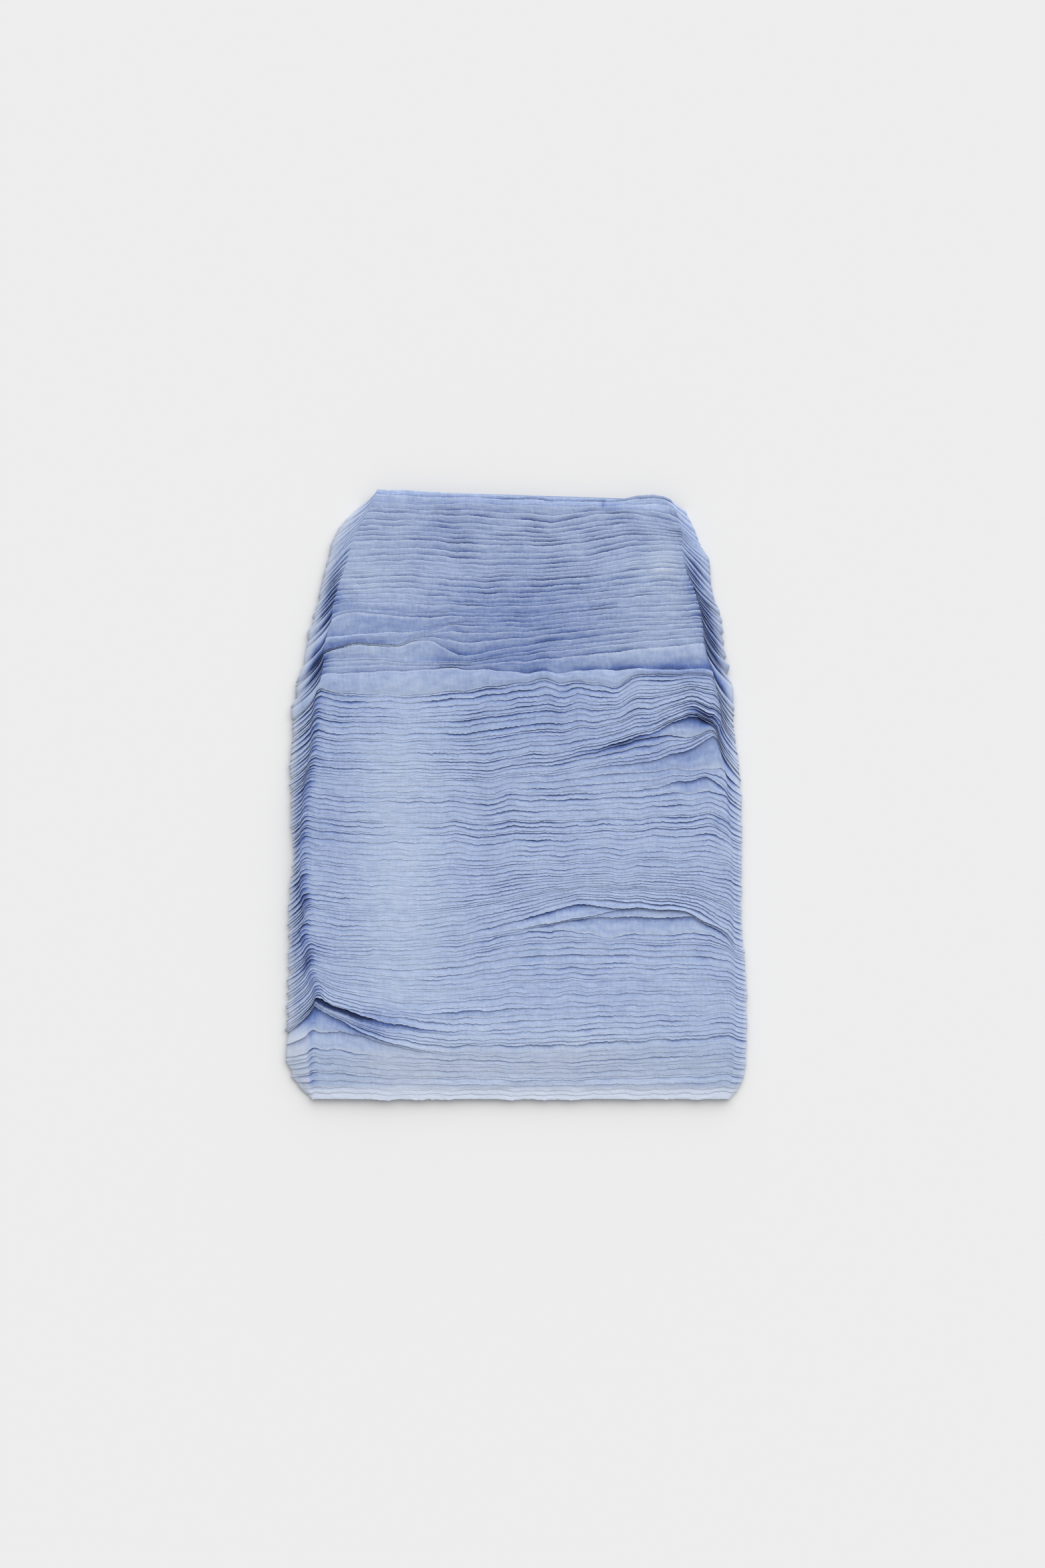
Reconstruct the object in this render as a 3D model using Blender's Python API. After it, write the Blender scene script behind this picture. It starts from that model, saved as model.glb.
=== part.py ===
"""Layered pencil skirt, laid flat: two foundation panels that carry tiers of narrow raw-edged cloth strips.

Metres, +Z up. The skirt lies on its back. +Y points to the waist, +X to the right seen from above.
The origin is under the middle of the outline, on the surface that the skirt lies on.
Above the hip the strips' free edges point up to the waist. Below it they hang down to the hem.
"""

import math
from collections import namedtuple

import bmesh
import bpy
from mathutils import Vector

# Driving sizes, in millimetres
MM = 0.001
WAIST_Y = 297.4
HEM_Y = -297.4
TURN_TOP_Y = 119.0
TURN_BOTTOM_Y = 99.0
PANEL_THICKNESS = 1.2
SEAM_GAP = 0.3
BACK_TIER_THICKNESS = 5.2
FRONT_TIER_THICKNESS = 6.9
CLOTH_EDGE_UNDERCUT = 0.9
TIER_OVERLAP = 4.0
OVERLAP_CLEARANCE = 0.6
FLOOR_CLEARANCE = 0.4

# Heights of the flat pieces' stack, which the front tiers lie on
BASE_BACK_Z = BACK_TIER_THICKNESS + SEAM_GAP
BASE_FRONT_Z = BASE_BACK_Z + PANEL_THICKNESS + SEAM_GAP
PLATEAU_TOP = BASE_FRONT_Z + PANEL_THICKNESS + SEAM_GAP

# Tiers, from the waist down and from the hip down
UPPER_TIERS = 4
STRIPS_PER_UPPER_TIER = 8
LOWER_TIERS = 9
STRIPS_PER_LOWER_TIER = 11

# Levels of a tier, as shares of its thickness
ROOT_LEVEL = 0.60
VALLEY_LEVEL = 0.78
CREST_LEVEL = 1.00
BAND_LEVEL = 0.88

# How far the pile falls towards the surface at the two ends
HEM_FALL = 13.0
WAIST_FALL = 10.0
HEM_REST = 0.08
WAIST_REST = 0.35
HEM_ROW_SHARES = (0.0, 0.35, 0.7, 1.0, 1.8, 2.8)
WAIST_ROW_SHARES = (0.0, 0.5, 1.0, 1.8, 2.6, 3.6)
PLAIN_INNER_ROWS = 2
PANEL_HEM_INSET = 15.0
PANEL_WAIST_INSET = 13.5

# Side insets of the flat pieces
BACK_TIER_SIDE_INSET = 9.0
BASE_BACK_SIDE_INSET = 14.0
BASE_FRONT_SIDE_INSET = 19.0

# The waist edge slopes down to the right
WAIST_SLOPE_START_X = -134.0
WAIST_SLOPE_END_X = 155.0
WAIST_SLOPE_DROP = 13.0
WAIST_SLOPE_REACH = 60.0

# Waves of the free edges, which grow to the right
WAVE_HEIGHT = 2.2
WAVE_START_X = -90.0
WAVE_FULL_X = 20.0
WAVE_LENGTH = 62.0
WAVE_DRIFT = 210.0

# The broad swell of the pile along the left part of the front
SWELL_X = -126.0
SWELL_WIDTH = 42.0
SWELL_SHARE = 0.24
SWELL_TOP_Y = 110.0
SWELL_RAMP = 40.0

PLATEAU_COLUMNS = 12
PANEL_STATIONS = 22
UPPER_BACK_STATIONS = 4
LOWER_BACK_STATIONS = 2
SIDE_DROP_REACH = 45.0

OutlineRow = namedtuple("OutlineRow", "y left right")
OUTLINE = (
    OutlineRow(-297.4, -197.0, 205.0),
    OutlineRow(-287.6, -206.0, 217.8),
    OutlineRow(-274.6, -219.7, 223.6),
    OutlineRow(-248.6, -226.2, 226.2),
    OutlineRow(-196.6, -223.3, 226.0),
    OutlineRow(-157.6, -222.3, 223.6),
    OutlineRow(-118.6, -223.0, 221.5),
    OutlineRow(-53.6, -219.4, 221.0),
    OutlineRow(11.4, -221.0, 219.7),
    OutlineRow(63.4, -219.1, 213.9),
    OutlineRow(102.4, -215.2, 211.3),
    OutlineRow(128.4, -208.7, 206.1),
    OutlineRow(154.4, -202.8, 202.8),
    OutlineRow(180.4, -195.7, 197.0),
    OutlineRow(206.4, -190.5, 190.5),
    OutlineRow(232.4, -183.3, 184.3),
    OutlineRow(245.4, -179.5, 177.0),
    OutlineRow(258.4, -173.0, 172.0),
    OutlineRow(271.4, -162.5, 166.0),
    OutlineRow(284.4, -149.5, 160.5),
    OutlineRow(297.4, -136.5, 156.0),
)

# Columns at a side: inset from the outline, height, share of the thickness, outward lean, drop of the strips
SideColumn = namedtuple("SideColumn", "inset rise share lean drop")
SIDE_COLUMNS = (
    SideColumn(1.9, 0.0, 0.32, 0.85, 9.0),
    SideColumn(7.0, 5.0, 0.62, 0.70, 5.0),
    SideColumn(16.0, 8.1, 0.93, 0.30, 1.0),
)

# Places where two neighbouring strips lie apart and smooth cloth shows
Parting = namedtuple("Parting", "x_start y_start x_end y_end opening reach")
PARTINGS = (
    Parting(-215.0, 146.0, -35.0, 168.0, 6.5, 24.0),
    Parting(90.0, 42.0, 215.0, 66.0, 8.0, 26.0),
    Parting(-70.0, -138.0, 222.0, -128.0, 7.5, 26.0),
    Parting(-222.0, -212.0, -30.0, -240.0, 8.0, 26.0),
)
PARTING_EASE = 2.0

# Colours, as linear values
BASE_COLOUR = (0.20, 0.27, 0.46, 1.0)
UPPER_COLOUR = (0.33, 0.41, 0.62, 1.0)
LOWER_COLOUR = (0.37, 0.46, 0.68, 1.0)
BACK_COLOUR = (0.30, 0.38, 0.58, 1.0)
CLOTH_ROUGHNESS = 0.85

Column = namedtuple("Column", "side inset rise share lean drop fraction")


def smooth(value):
    """Eases from 0 to 1 as value goes from 0 to 1."""
    share = min(1.0, max(0.0, value))
    return share * share * (3.0 - 2.0 * share)


def outline_at(y):
    """Left and right edge of the skirt at height y, a smooth curve through the outline's rows."""
    rows = OUTLINE
    y = min(rows[-1].y, max(rows[0].y, y))
    index = 0
    while index < len(rows) - 2 and rows[index + 1].y < y:
        index += 1
    low, high = rows[index], rows[index + 1]
    before = rows[max(0, index - 1)]
    after = rows[min(len(rows) - 1, index + 2)]
    span = high.y - low.y
    t = (y - low.y) / span
    edges = []
    for side in ("left", "right"):
        a, b = getattr(low, side), getattr(high, side)
        slope_a = (b - getattr(before, side)) / max(1.0, high.y - before.y) * span
        slope_b = (getattr(after, side) - a) / max(1.0, after.y - low.y) * span
        edges.append(
            (2 * t**3 - 3 * t**2 + 1) * a
            + (t**3 - 2 * t**2 + t) * slope_a
            + (3 * t**2 - 2 * t**3) * b
            + (t**3 - t**2) * slope_b
        )
    return edges


def waist_slope(x, y):
    """How much lower the waist's end lies at x than at its left corner."""
    across = smooth((x - WAIST_SLOPE_START_X) / (WAIST_SLOPE_END_X - WAIST_SLOPE_START_X))
    along = smooth((y - (WAIST_Y - WAIST_SLOPE_REACH)) / WAIST_SLOPE_REACH)
    return -WAIST_SLOPE_DROP * across * along


def wave(x, y):
    """Rise and fall of a strip's free edge along the row."""
    growth = smooth((x - WAVE_START_X) / (WAVE_FULL_X - WAVE_START_X))
    fade = smooth((y - HEM_Y) / HEM_FALL) * smooth((WAIST_Y - y) / WAIST_FALL)
    phase = 2.0 * math.pi * (x / WAVE_LENGTH + y / WAVE_DRIFT)
    return WAVE_HEIGHT * growth * fade * math.sin(phase)


def parting_shift(x, y):
    """Moves the rows away from each parting's line."""
    shift = 0.0
    for parting in PARTINGS:
        along = (x - parting.x_start) / (parting.x_end - parting.x_start)
        if not 0.0 < along < 1.0:
            continue
        line_y = parting.y_start + (parting.y_end - parting.y_start) * along
        distance = y - line_y
        opening = parting.opening * math.sin(math.pi * along)
        fade = math.exp(-abs(distance) / parting.reach)
        shift += opening * math.tanh(distance / PARTING_EASE) * fade
    return shift


def end_height(y):
    """Share of the full height that the pile keeps near the hem and the waist."""
    hem = HEM_REST + (1.0 - HEM_REST) * smooth((y - HEM_Y) / HEM_FALL)
    waist = WAIST_REST + (1.0 - WAIST_REST) * smooth((WAIST_Y - y) / WAIST_FALL)
    return min(hem, waist)


def pile_thickness(x, y, share):
    """Thickness of the layered strips."""
    across = math.exp(-((x - SWELL_X) / SWELL_WIDTH) ** 2)
    along = smooth((SWELL_TOP_Y - y) / SWELL_RAMP)
    swell = 1.0 + SWELL_SHARE * across * along
    ends = 0.45 + 0.55 * end_height(y)
    return FRONT_TIER_THICKNESS * share * swell * ends


def make_columns():
    """Columns across a front tier, from the left tip over the plateau to the right tip."""
    left = [Column(-1, c.inset, c.rise, c.share, c.lean, c.drop, 0.0) for c in SIDE_COLUMNS]
    right = [Column(1, c.inset, c.rise, c.share, c.lean, c.drop, 1.0) for c in reversed(SIDE_COLUMNS)]
    ridge = SIDE_COLUMNS[-1]
    plateau_rise = PLATEAU_TOP - FLOOR_CLEARANCE
    middle = []
    for index in range(1, PLATEAU_COLUMNS + 1):
        fraction = index / (PLATEAU_COLUMNS + 1)
        middle.append(Column(0, ridge.inset, plateau_rise, 1.0, 0.0, 0.0, fraction))
    return left + middle + right


def plan_point(column, y):
    """Place of a column's inner side on the plan, for the row at height y."""
    drop = column.drop * smooth((y - HEM_Y) / SIDE_DROP_REACH) * smooth((WAIST_Y - y) / SIDE_DROP_REACH)
    left, right = outline_at(y - drop)
    if column.side < 0:
        x = left + column.inset
    elif column.side > 0:
        x = right - column.inset
    else:
        x = left + column.inset + (right - left - 2.0 * column.inset) * column.fraction
    moved = y - drop + waist_slope(x, y - drop) + wave(x, y) + parting_shift(x, y)
    return x, moved


def level_depth(level, thickness):
    """Distance of a named level from the tier's inner side."""
    root = ROOT_LEVEL * thickness
    return {
        "inner": 0.0,
        "root": root,
        "over": root + SEAM_GAP,
        "valley": VALLEY_LEVEL * thickness,
        "band": BAND_LEVEL * thickness,
        "crest": CREST_LEVEL * thickness,
    }[level]


def tier_point(column, y, level):
    """Point of a tier, worked out from its column, its row and its level above the panel."""
    x, moved = plan_point(column, y)
    height = FLOOR_CLEARANCE + column.rise * end_height(y)
    depth = level_depth(level, pile_thickness(x, y, column.share))
    outward = column.side * column.lean * depth
    upward = math.sqrt(1.0 - column.lean**2) * depth
    return Vector((x + outward, moved, height + upward)) * MM


def hem_rows():
    """Rows of the plain inner side along the hem's fall and its rounded corners."""
    return [(HEM_Y + HEM_FALL * share, "inner") for share in HEM_ROW_SHARES]


def waist_rows():
    """Rows of the plain inner side along the waist's fall and its sloping corners."""
    return [(WAIST_Y - WAIST_FALL * share, "inner") for share in WAIST_ROW_SHARES]


def covering_rows(free_y, fall):
    """Inner rows at a free edge that lies over the next tier's root. fall is 1 downwards and -1 upwards."""
    step_y = free_y + fall * (TIER_OVERLAP + OVERLAP_CLEARANCE)
    return [(free_y, "over"), (step_y, "over"), (step_y, "inner")]


def plain_rows(from_y, to_y, count):
    """Inner rows that carry the plain side round the outline between two heights."""
    step = (to_y - from_y) / (count + 1)
    return [(from_y + step * index, "inner") for index in range(1, count + 1)]


def tier_profile(root_y, free_y, strips, end_rows=None):
    """Closed profile of a tier: its stepped outer side, then its plain inner side."""
    fall = 1.0 if root_y > free_y else -1.0
    pitch = abs(root_y - free_y) / strips
    outer = [(root_y + fall * TIER_OVERLAP, "root"), (root_y, "root")]
    for strip in range(1, strips + 1):
        edge_y = root_y - fall * pitch * strip
        outer.append((edge_y, "crest"))
        if strip < strips:
            outer.append((edge_y + fall * CLOTH_EDGE_UNDERCUT, "valley"))
    root_end = root_y + fall * TIER_OVERLAP
    inner = list(end_rows) if end_rows else covering_rows(free_y, fall)
    if not end_rows:
        inner += plain_rows(inner[-1][0], root_end, PLAIN_INNER_ROWS)
    return outer + inner + [(root_end, "inner")]


def band_profile():
    """Closed profile of the turn band, which covers the roots above and below it."""
    middle_y = 0.5 * (TURN_TOP_Y + TURN_BOTTOM_Y)
    outer = [(TURN_TOP_Y, "crest"), (middle_y, "band"), (TURN_BOTTOM_Y, "crest")]
    lower = covering_rows(TURN_BOTTOM_Y, 1.0)
    upper = covering_rows(TURN_TOP_Y, -1.0)
    return outer + lower + list(reversed(upper))


def cloth_material(name, colour):
    """Matt cloth finish."""
    material = bpy.data.materials.new(name + "_cloth")
    material.use_nodes = True
    shader = material.node_tree.nodes["Principled BSDF"]
    shader.inputs["Base Color"].default_value = colour
    shader.inputs["Roughness"].default_value = CLOTH_ROUGHNESS
    shader.inputs["Metallic"].default_value = 0.0
    return material


def lofted_tier(collection, name, profile, colour):
    """Lofts a tier's closed profile across all its columns and caps it at both tips."""
    build = bmesh.new()
    sections = []
    for column in make_columns():
        sections.append([build.verts.new(tier_point(column, y, level)) for y, level in profile])
    count = len(profile)
    for near, far in zip(sections, sections[1:]):
        for index in range(count):
            following = (index + 1) % count
            build.faces.new((near[index], near[following], far[following], far[index]))
    caps = [build.faces.new(list(reversed(sections[0]))), build.faces.new(sections[-1])]
    bmesh.ops.triangulate(build, faces=caps, ngon_method="EAR_CLIP")
    if build.calc_volume(signed=True) < 0.0:
        bmesh.ops.reverse_faces(build, faces=build.faces)
    mesh = bpy.data.meshes.new(name)
    build.to_mesh(mesh)
    build.free()
    piece = bpy.data.objects.new(name, mesh)
    piece.data.materials.append(cloth_material(name, colour))
    collection.objects.link(piece)
    return piece


def flat_piece(collection, name, bottom_y, top_y, inset, bottom_z, thickness, stations, colour):
    """A flat cloth piece: its outline as a filled curve, extruded to its thickness."""
    left_edge = []
    right_edge = []
    for station in range(stations + 1):
        y = bottom_y + (top_y - bottom_y) * station / stations
        left, right = outline_at(y)
        left += inset
        right -= inset
        left_edge.append((left, y + waist_slope(left, y)))
        right_edge.append((right, y + waist_slope(right, y)))
    corners = right_edge + list(reversed(left_edge))
    curve = bpy.data.curves.new(name, "CURVE")
    curve.dimensions = "2D"
    curve.fill_mode = "BOTH"
    curve.extrude = 0.5 * thickness * MM
    spline = curve.splines.new("POLY")
    spline.points.add(len(corners) - 1)
    for point, (x, y) in zip(spline.points, corners):
        point.co = (x * MM, y * MM, 0.0, 1.0)
    spline.use_cyclic_u = True
    piece = bpy.data.objects.new(name, curve)
    piece.location.z = (bottom_z + 0.5 * thickness) * MM
    piece.data.materials.append(cloth_material(name, colour))
    collection.objects.link(piece)
    return piece


def tier_spans(top_y, bottom_y, count):
    """Upper and lower end of each tier, from the top down."""
    height = (top_y - bottom_y) / count
    return [(top_y - height * index, top_y - height * (index + 1)) for index in range(count)]


def make_front(collection):
    """The front's tiers and its turn band."""
    for number, (top, bottom) in enumerate(tier_spans(WAIST_Y, TURN_TOP_Y, UPPER_TIERS), 1):
        end_rows = waist_rows() if number == 1 else None
        profile = tier_profile(bottom, top, STRIPS_PER_UPPER_TIER, end_rows)
        lofted_tier(collection, f"upper_front_{number}", profile, UPPER_COLOUR)
    lofted_tier(collection, "turn_band_front", band_profile(), UPPER_COLOUR)
    for number, (top, bottom) in enumerate(tier_spans(TURN_BOTTOM_Y, HEM_Y, LOWER_TIERS), 1):
        end_rows = hem_rows() if number == LOWER_TIERS else None
        profile = tier_profile(top, bottom, STRIPS_PER_LOWER_TIER, end_rows)
        lofted_tier(collection, f"lower_front_{number}", profile, LOWER_COLOUR)


def back_tier(collection, name, bottom_y, top_y, stations):
    """A tier of the back, pressed flat against the surface."""
    flat_piece(
        collection,
        name,
        bottom_y + 0.5 * SEAM_GAP,
        top_y - 0.5 * SEAM_GAP,
        BACK_TIER_SIDE_INSET,
        0.0,
        BACK_TIER_THICKNESS,
        stations,
        BACK_COLOUR,
    )


def make_back(collection):
    """The back's tiers and its turn band, flat on the surface."""
    waist_end = WAIST_Y - PANEL_WAIST_INSET
    hem_end = HEM_Y + PANEL_HEM_INSET
    for number, (top, bottom) in enumerate(tier_spans(waist_end, TURN_TOP_Y, UPPER_TIERS), 1):
        back_tier(collection, f"upper_back_{number}", bottom, top, UPPER_BACK_STATIONS)
    back_tier(collection, "turn_band_back", TURN_BOTTOM_Y, TURN_TOP_Y, 1)
    for number, (top, bottom) in enumerate(tier_spans(TURN_BOTTOM_Y, hem_end, LOWER_TIERS), 1):
        back_tier(collection, f"lower_back_{number}", bottom, top, LOWER_BACK_STATIONS)


def make_base(collection):
    """The two foundation panels between the front's and the back's tiers."""
    for name, inset, height in (
        ("base_back", BASE_BACK_SIDE_INSET, BASE_BACK_Z),
        ("base_front", BASE_FRONT_SIDE_INSET, BASE_FRONT_Z),
    ):
        flat_piece(
            collection,
            name,
            HEM_Y + PANEL_HEM_INSET,
            WAIST_Y - PANEL_WAIST_INSET,
            inset,
            height,
            PANEL_THICKNESS,
            PANEL_STATIONS,
            BASE_COLOUR,
        )


def centre_on_outline(collection):
    """Moves every piece so that the origin is under the middle of the whole."""
    bpy.context.view_layer.update()
    corners = [piece.matrix_world @ Vector(corner) for piece in collection.objects for corner in piece.bound_box]
    middle_x = 0.5 * (min(c.x for c in corners) + max(c.x for c in corners))
    middle_y = 0.5 * (min(c.y for c in corners) + max(c.y for c in corners))
    for piece in collection.objects:
        piece.location.x -= middle_x
        piece.location.y -= middle_y


def main():
    for item in list(bpy.data.objects):
        bpy.data.objects.remove(item, do_unlink=True)
    collection = bpy.data.collections.new("layered_skirt")
    bpy.context.scene.collection.children.link(collection)
    make_base(collection)
    make_back(collection)
    make_front(collection)
    centre_on_outline(collection)


main()
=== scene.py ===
"""Layered pencil skirt, laid flat on a pale surface and seen from straight above.

Every strip is a thin sheet that runs all round the skirt. Its free edge follows a row, and its body dips
under the rows that cover it. Above the hip the free edges point up to the waist, and below it they hang down
to the hem. Rows are worked out between a few guide lines, given in pixels of the reference picture.
"""

import math
from collections import namedtuple

import bpy
import numpy as np
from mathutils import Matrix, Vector


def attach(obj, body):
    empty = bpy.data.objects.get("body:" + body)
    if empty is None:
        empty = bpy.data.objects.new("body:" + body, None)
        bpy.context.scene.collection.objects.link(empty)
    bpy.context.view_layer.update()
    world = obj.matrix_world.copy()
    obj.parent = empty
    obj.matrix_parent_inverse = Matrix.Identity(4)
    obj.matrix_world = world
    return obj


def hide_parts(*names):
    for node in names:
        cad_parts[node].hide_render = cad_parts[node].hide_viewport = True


# The picture's frame and scale. Its pixels count right and down.
PICTURE_WIDTH = 1568
PICTURE_HEIGHT = 2352
MM_PER_PIXEL = 0.65
ORIGIN_PIXEL_X = 774.0
ORIGIN_PIXEL_Y = 1190.5
MM = 0.001
SEED = 20

# An eased change that starts at one place and is complete a width further on, or back if that is negative
Ramp = namedtuple("Ramp", "start width")
# A soft bump
Bump = namedtuple("Bump", "middle width")

# The CAD model's foundation panels, which the strips stay over: top in millimetres and hem in pixels
PANEL_TOP = 8.5
PANEL_CLEARANCE = 0.5
PANEL_HEM_PIXEL_Y = 1625.0
OVER_PANEL = Ramp(PANEL_HEM_PIXEL_Y + 14.0, -12.0)

# The pile of strips, in millimetres and degrees. It thins towards the hem, the waist and the tips of the side
# folds, where it also tilts.
PILE = 6.9
FLOOR_GAP = 0.35
HEM_FALL = 62.0
HEM_REST = 0.30
WAIST_FALL = 10.0
WAIST_REST = 0.75
TIP_HEIGHT = 1.3
TIP_REST = 0.30
TIP_TILT = 32.0
WAIST_PIXEL_Y = ((566, 733), (700, 739), (860, 746), (1015, 752))
HEM_PIXEL_Y = 1648.0

# A swell left of the middle: its place in pixels, and its share of the pile's height
SWELL_ACROSS = Bump(580.0, 65.0)
SWELL_DOWN = Ramp(1030.0, 60.0)
SWELL_SHARE = 0.20

# Slow ripples of the pile's top: lengths in pixels and height in millimetres
Ripple = namedtuple("Ripple", "across down height")
RIPPLES = (Ripple(46.0, 120.0, 0.45), Ripple(150.0, 33.0, 0.35))

# Waves of the rows: lengths in pixels, where a negative one slants the other way, and heights of the rows in
# pixels and of the pile in millimetres
Wave = namedtuple("Wave", "across down height swing")
WAVES = (Wave(76.0, 330.0, 2.3, 0.55), Wave(43.0, -240.0, 1.1, 0.25))
WAVES_ACROSS = Ramp(620.0, 130.0)
WAVES_DOWN = (
    (733, 0.3), (990, 0.3), (1030, 1.0), (1150, 0.8), (1290, 0.7), (1370, 0.3), (1500, 0.3), (1640, 0.0),
)
WANDER_LENGTHS = (61.0, 47.0, 71.0, 140.0)

# Noise along the rows: height, lengths in pixels, and how fast it changes from row to row
Noise = namedtuple("Noise", "height lengths drift")
SLOW_NOISE = Noise(1.1, (210.0, 96.0, 47.0), 0.55)
FINE_NOISE = Noise(0.42, (23.0, 13.0, 8.0), 1.5)
HEIGHT_NOISE = Noise(0.22, (130.0, 61.0, 29.0), 1.2)
STEP_NOISE = Noise(0.55, (260.0, 118.0, 66.0), 1.6)
NOISE_STRENGTHS = (0.6, 1.2)

# Chance from row to row: spread of each value or the limits that it keeps to. The grain is in millimetres.
PITCH_SPREAD = 0.28
PITCH_LIMITS = (0.45, 1.7)
SLOPE_LIMITS = (0.94, 1.06)
RAG_LIMITS = (-1.6, 1.8)
STEP_SPREAD = 0.38
STEP_LIMITS = (0.3, 2.6)
SLIT_SPREAD = 0.6
SLIT_LIMITS = (0.3, 2.5)
EDGE_GRAIN = 0.11

# Rows from the waist to the hem. The turn band lies between its two rows.
TURN_TOP_ROW = 32
TURN_BOTTOM_ROW = 33
LAST_ROW = 129
UPPER_TIERS = 4
LOWER_TIERS = 9

# Least distance between rows on the front and along the side folds, and how far they pass the hem, in pixels
FRONT_ROW_GAP = 1.5
FLANK_ROW_GAP = 1.0
HEM_OVERHANG = 1.5
TIP_OVERHANG = 2.0
# How far below its ridge a row looks for the outline, in pixels
TIP_LAG = 15.0
# First guess of the two ridges' columns, and how often they are worked out anew
RIDGE_GUESS = (480.0, 1060.0)
RIDGE_ROUNDS = 3
# Distance between rows at which they wander in full, in pixels, and the least and most share of it
FULL_PITCH = 6.0
CALM_LIMITS = (0.25, 1.2)

# Humps of the rows beside the ridges, in pixels: a bump, a long fall, and a short turn down at the ridge
RIDGE_BUMP = Bump(9.0, 8.0)
RIDGE_BUMP_HEIGHT = 2.6
RIDGE_FALL_LENGTH = 28.0
RIDGE_FALL_HEIGHT = 3.2
TURN_DOWN_LENGTH = 4.0
TURN_DOWN_HEIGHT = 7.0
TURN_DOWN_BELOW = Ramp(860.0, 70.0)
HUMPS_BELOW_TURN = Ramp(1000.0, 50.0)
HUMPS_ABOVE_HEM = Ramp(1642.0, -60.0)
RIGHT_HUMPS_ABOVE = Ramp(1180.0, -60.0)

# Columns of a strip: along the flat front, down a side fold as shares of its width, and round the back.
# Insets, levels and rise of the back are in millimetres.
PLATEAU_COLUMNS = 336
FLANK_SHARES = (0.07, 0.15, 0.24, 0.34, 0.45, 0.56, 0.67, 0.78, 0.89, 1.0)
BACK_INSETS = (2.0, 6.0, 12.0, 20.0)
BACK_COLUMNS = 26
BACK_LEVELS = (0.0, 0.1, 0.4, 0.7, 1.0, 2.0)
BACK_RISE = 45.0

# Depth samples of a strip, from its free edge (0) to the row that covers it (1) and on towards the next (2)
DEPTH_SHARES = (0.0, 0.18, 0.42, 0.70, 1.0, 1.9)
DEPTH_DIPS = (0.08, 0.0, 0.20, 0.55, 1.0, 1.0)
# The hidden end dips by a share of the next strip's dip and a little more, in millimetres
TAIL_SHARE = 0.85
TAIL_DIP = 0.4
# Samples of the turn band, from its lower edge to its upper one, and how far they swell out in millimetres
BAND_SWELLS = ((0.0, -0.1), (0.1, 0.35), (0.35, 0.75), (0.65, 0.75), (0.9, 0.35), (1.0, -0.1))
# Strips that show wider than this, in pixels, dip further and crumple
WIDE_FROM = 7.0
WIDE_SPAN = 10.0
CRUMPLE_HEIGHT = 0.30
CRUMPLE_LENGTH = 2.3
CRUMPLE_SWAY = 3.0
CRUMPLE_SWAY_LENGTH = 9.0
# How much further a strip dips for each millimetre that its cover is lifted
LIFT_STEP = 1.15

# Distance between the courses of a strip's pattern, in millimetres
COURSE_PITCH = 4.2

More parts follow.
